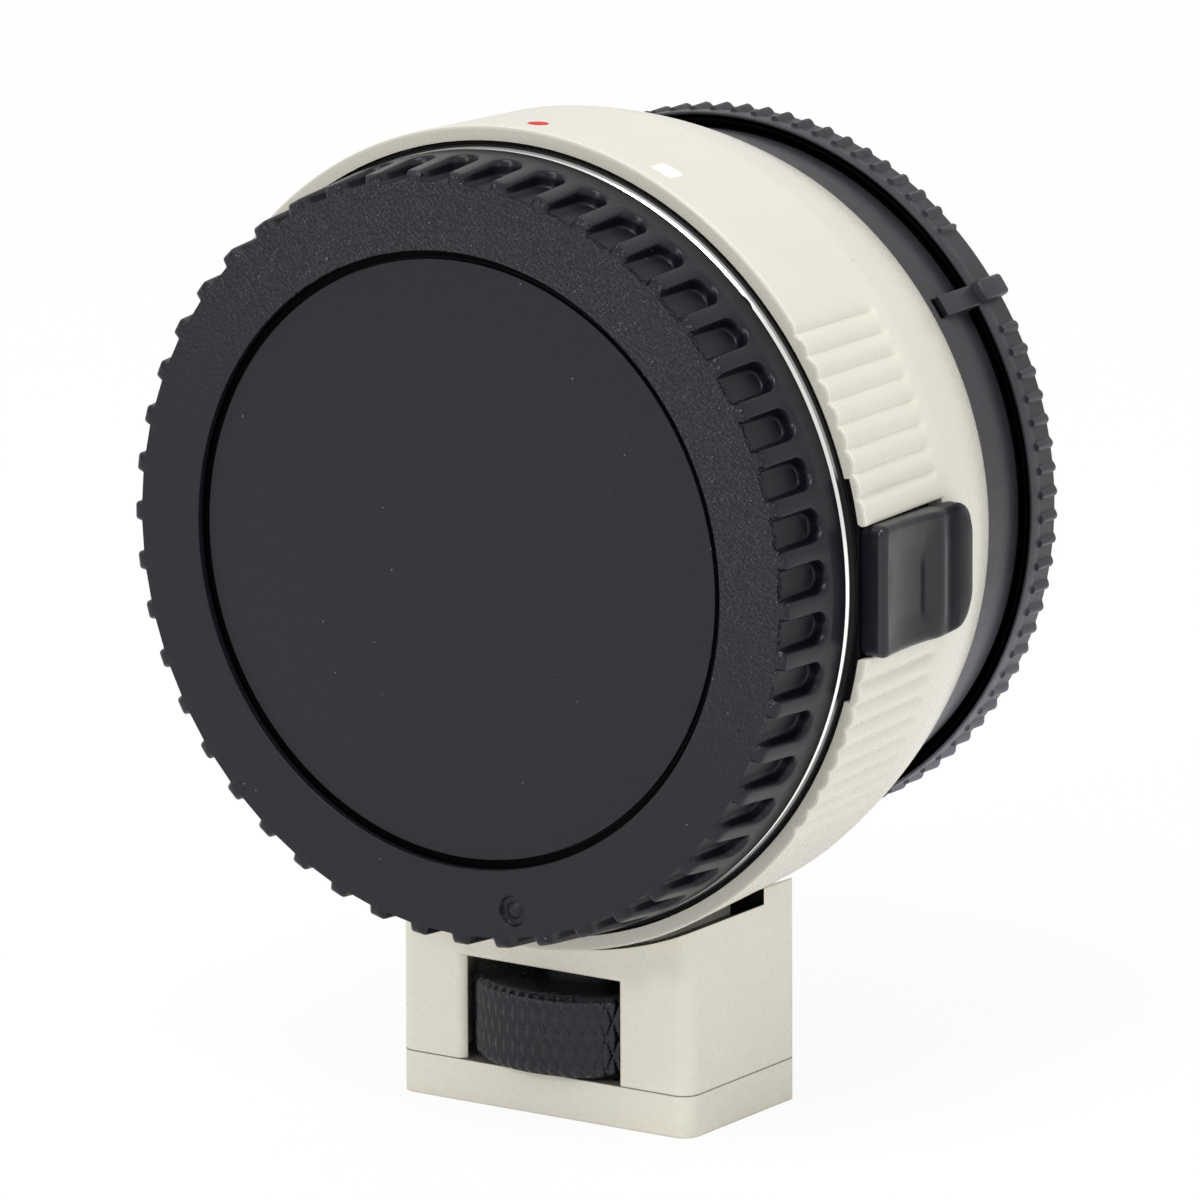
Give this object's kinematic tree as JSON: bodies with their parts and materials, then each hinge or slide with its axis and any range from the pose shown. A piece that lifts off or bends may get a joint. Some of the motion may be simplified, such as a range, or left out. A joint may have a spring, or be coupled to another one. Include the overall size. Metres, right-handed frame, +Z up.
{
  "type": "lens mount adapter",
  "caption": "Ring-shaped lens mount adapter in ivory with a notched lens-side cap, a ribbed camera-side cap, a sprung release lever and a tripod foot with a knurled thumb wheel.",
  "frame": {"origin": "on the optical axis, in the front face of the lens-side ring", "axes": "+Z up, +Y along the optical axis to the camera, +X to the release lever"},
  "size_m": [0.0697, 0.0434, 0.083],
  "materials": {
    "ivory_paint": "satin",
    "black_shell": "matte",
    "cap_plastic": "matte",
    "rear_cap_plastic": "satin",
    "mount_steel": "satin",
    "lever_plastic": "satin",
    "screw_steel": "satin",
    "spring_steel": "polished",
    "contact_gold": "polished",
    "contact_plastic": "matte",
    "board_laminate": "satin",
    "chip_plastic": "matte",
    "flex_film": "satin",
    "wheel_metal": "satin",
    "bush_brass": "machined",
    "red_paint": "matte",
    "white_paint": "matte"
  },
  "bodies": {
    "adapter": {"front_mount_ring": "mount_steel", "front_mount_screws": "screw_steel", "mount_leaf_springs": "spring_steel", "chassis": "black_shell", "outer_barrel": "ivory_paint", "red_index_mark": "red_paint", "white_index_mark": "white_paint", "light_baffle": "black_shell", "circuit_board": "board_laminate", "board_chips": "chip_plastic", "front_flex_cable": "flex_film", "rear_flex_cable": "flex_film", "front_contact_block": "contact_plastic", "rear_contact_block": "contact_plastic", "rear_contact_pads": "contact_gold", "rear_mount_ring": "mount_steel", "rear_mount_screws": "screw_steel", "release_guides": "screw_steel", "release_springs": "spring_steel", "foot_shoe": "ivory_paint", "shoe_screws": "screw_steel", "stud_insert": "screw_steel"},
    "contacts": {"front_contact_pins": "contact_gold"},
    "release": {"release_lever": "lever_plastic", "release_slider": "contact_plastic", "lock_pin": "screw_steel"},
    "foot": {"foot_housing": "ivory_paint", "foot_base_plate": "ivory_paint", "foot_plate_screws": "screw_steel", "tripod_bush": "bush_brass"},
    "wheel": {"thumb_wheel": "wheel_metal", "clamp_stud": "screw_steel", "thumb_wheel_washer": "screw_steel"},
    "lens_side_cap": {"front_cap": "cap_plastic"},
    "camera_side_cap": {"rear_cap": "rear_cap_plastic"}
  },
  "joints": [
    {"name": "contact_press", "type": "slide", "parent": "adapter", "child": "contacts", "axis": [0, 1, 0], "range_m": [0, 0.0006], "stiffness_N_per_m": 400, "springref_m": -0.001},
    {"name": "release_push", "type": "slide", "parent": "adapter", "child": "release", "axis": [0, 1, 0], "range_m": [0, 0.0026], "stiffness_N_per_m": 400, "springref_m": -0.003, "deforming": ["release_springs"]},
    {"name": "foot_drop", "type": "slide", "parent": "adapter", "child": "foot", "axis": [0, 0, -1], "range_m": [0, 0.004]},
    {"name": "wheel_turn", "type": "hinge", "parent": "foot", "child": "wheel", "pos_m": [0, 0.01185, -0.0416], "axis": [0, 0, -1], "range_deg": [0, 1800]},
    {"name": "lens_side_cap_turn", "type": "hinge", "parent": "adapter", "child": "lens_side_cap", "pos_m": [0, 0, 0], "axis": [0, -1, 0], "range_deg": [0, 60]},
    {"name": "camera_side_cap_turn", "type": "hinge", "parent": "adapter", "child": "camera_side_cap", "pos_m": [0, 0.026, 0], "axis": [0, 1, 0], "range_deg": [0, 60]}
  ],
  "couplings": [
    {"joint": "wheel_turn", "follows": "foot_drop", "rad_per_m": 7854}
  ]
}
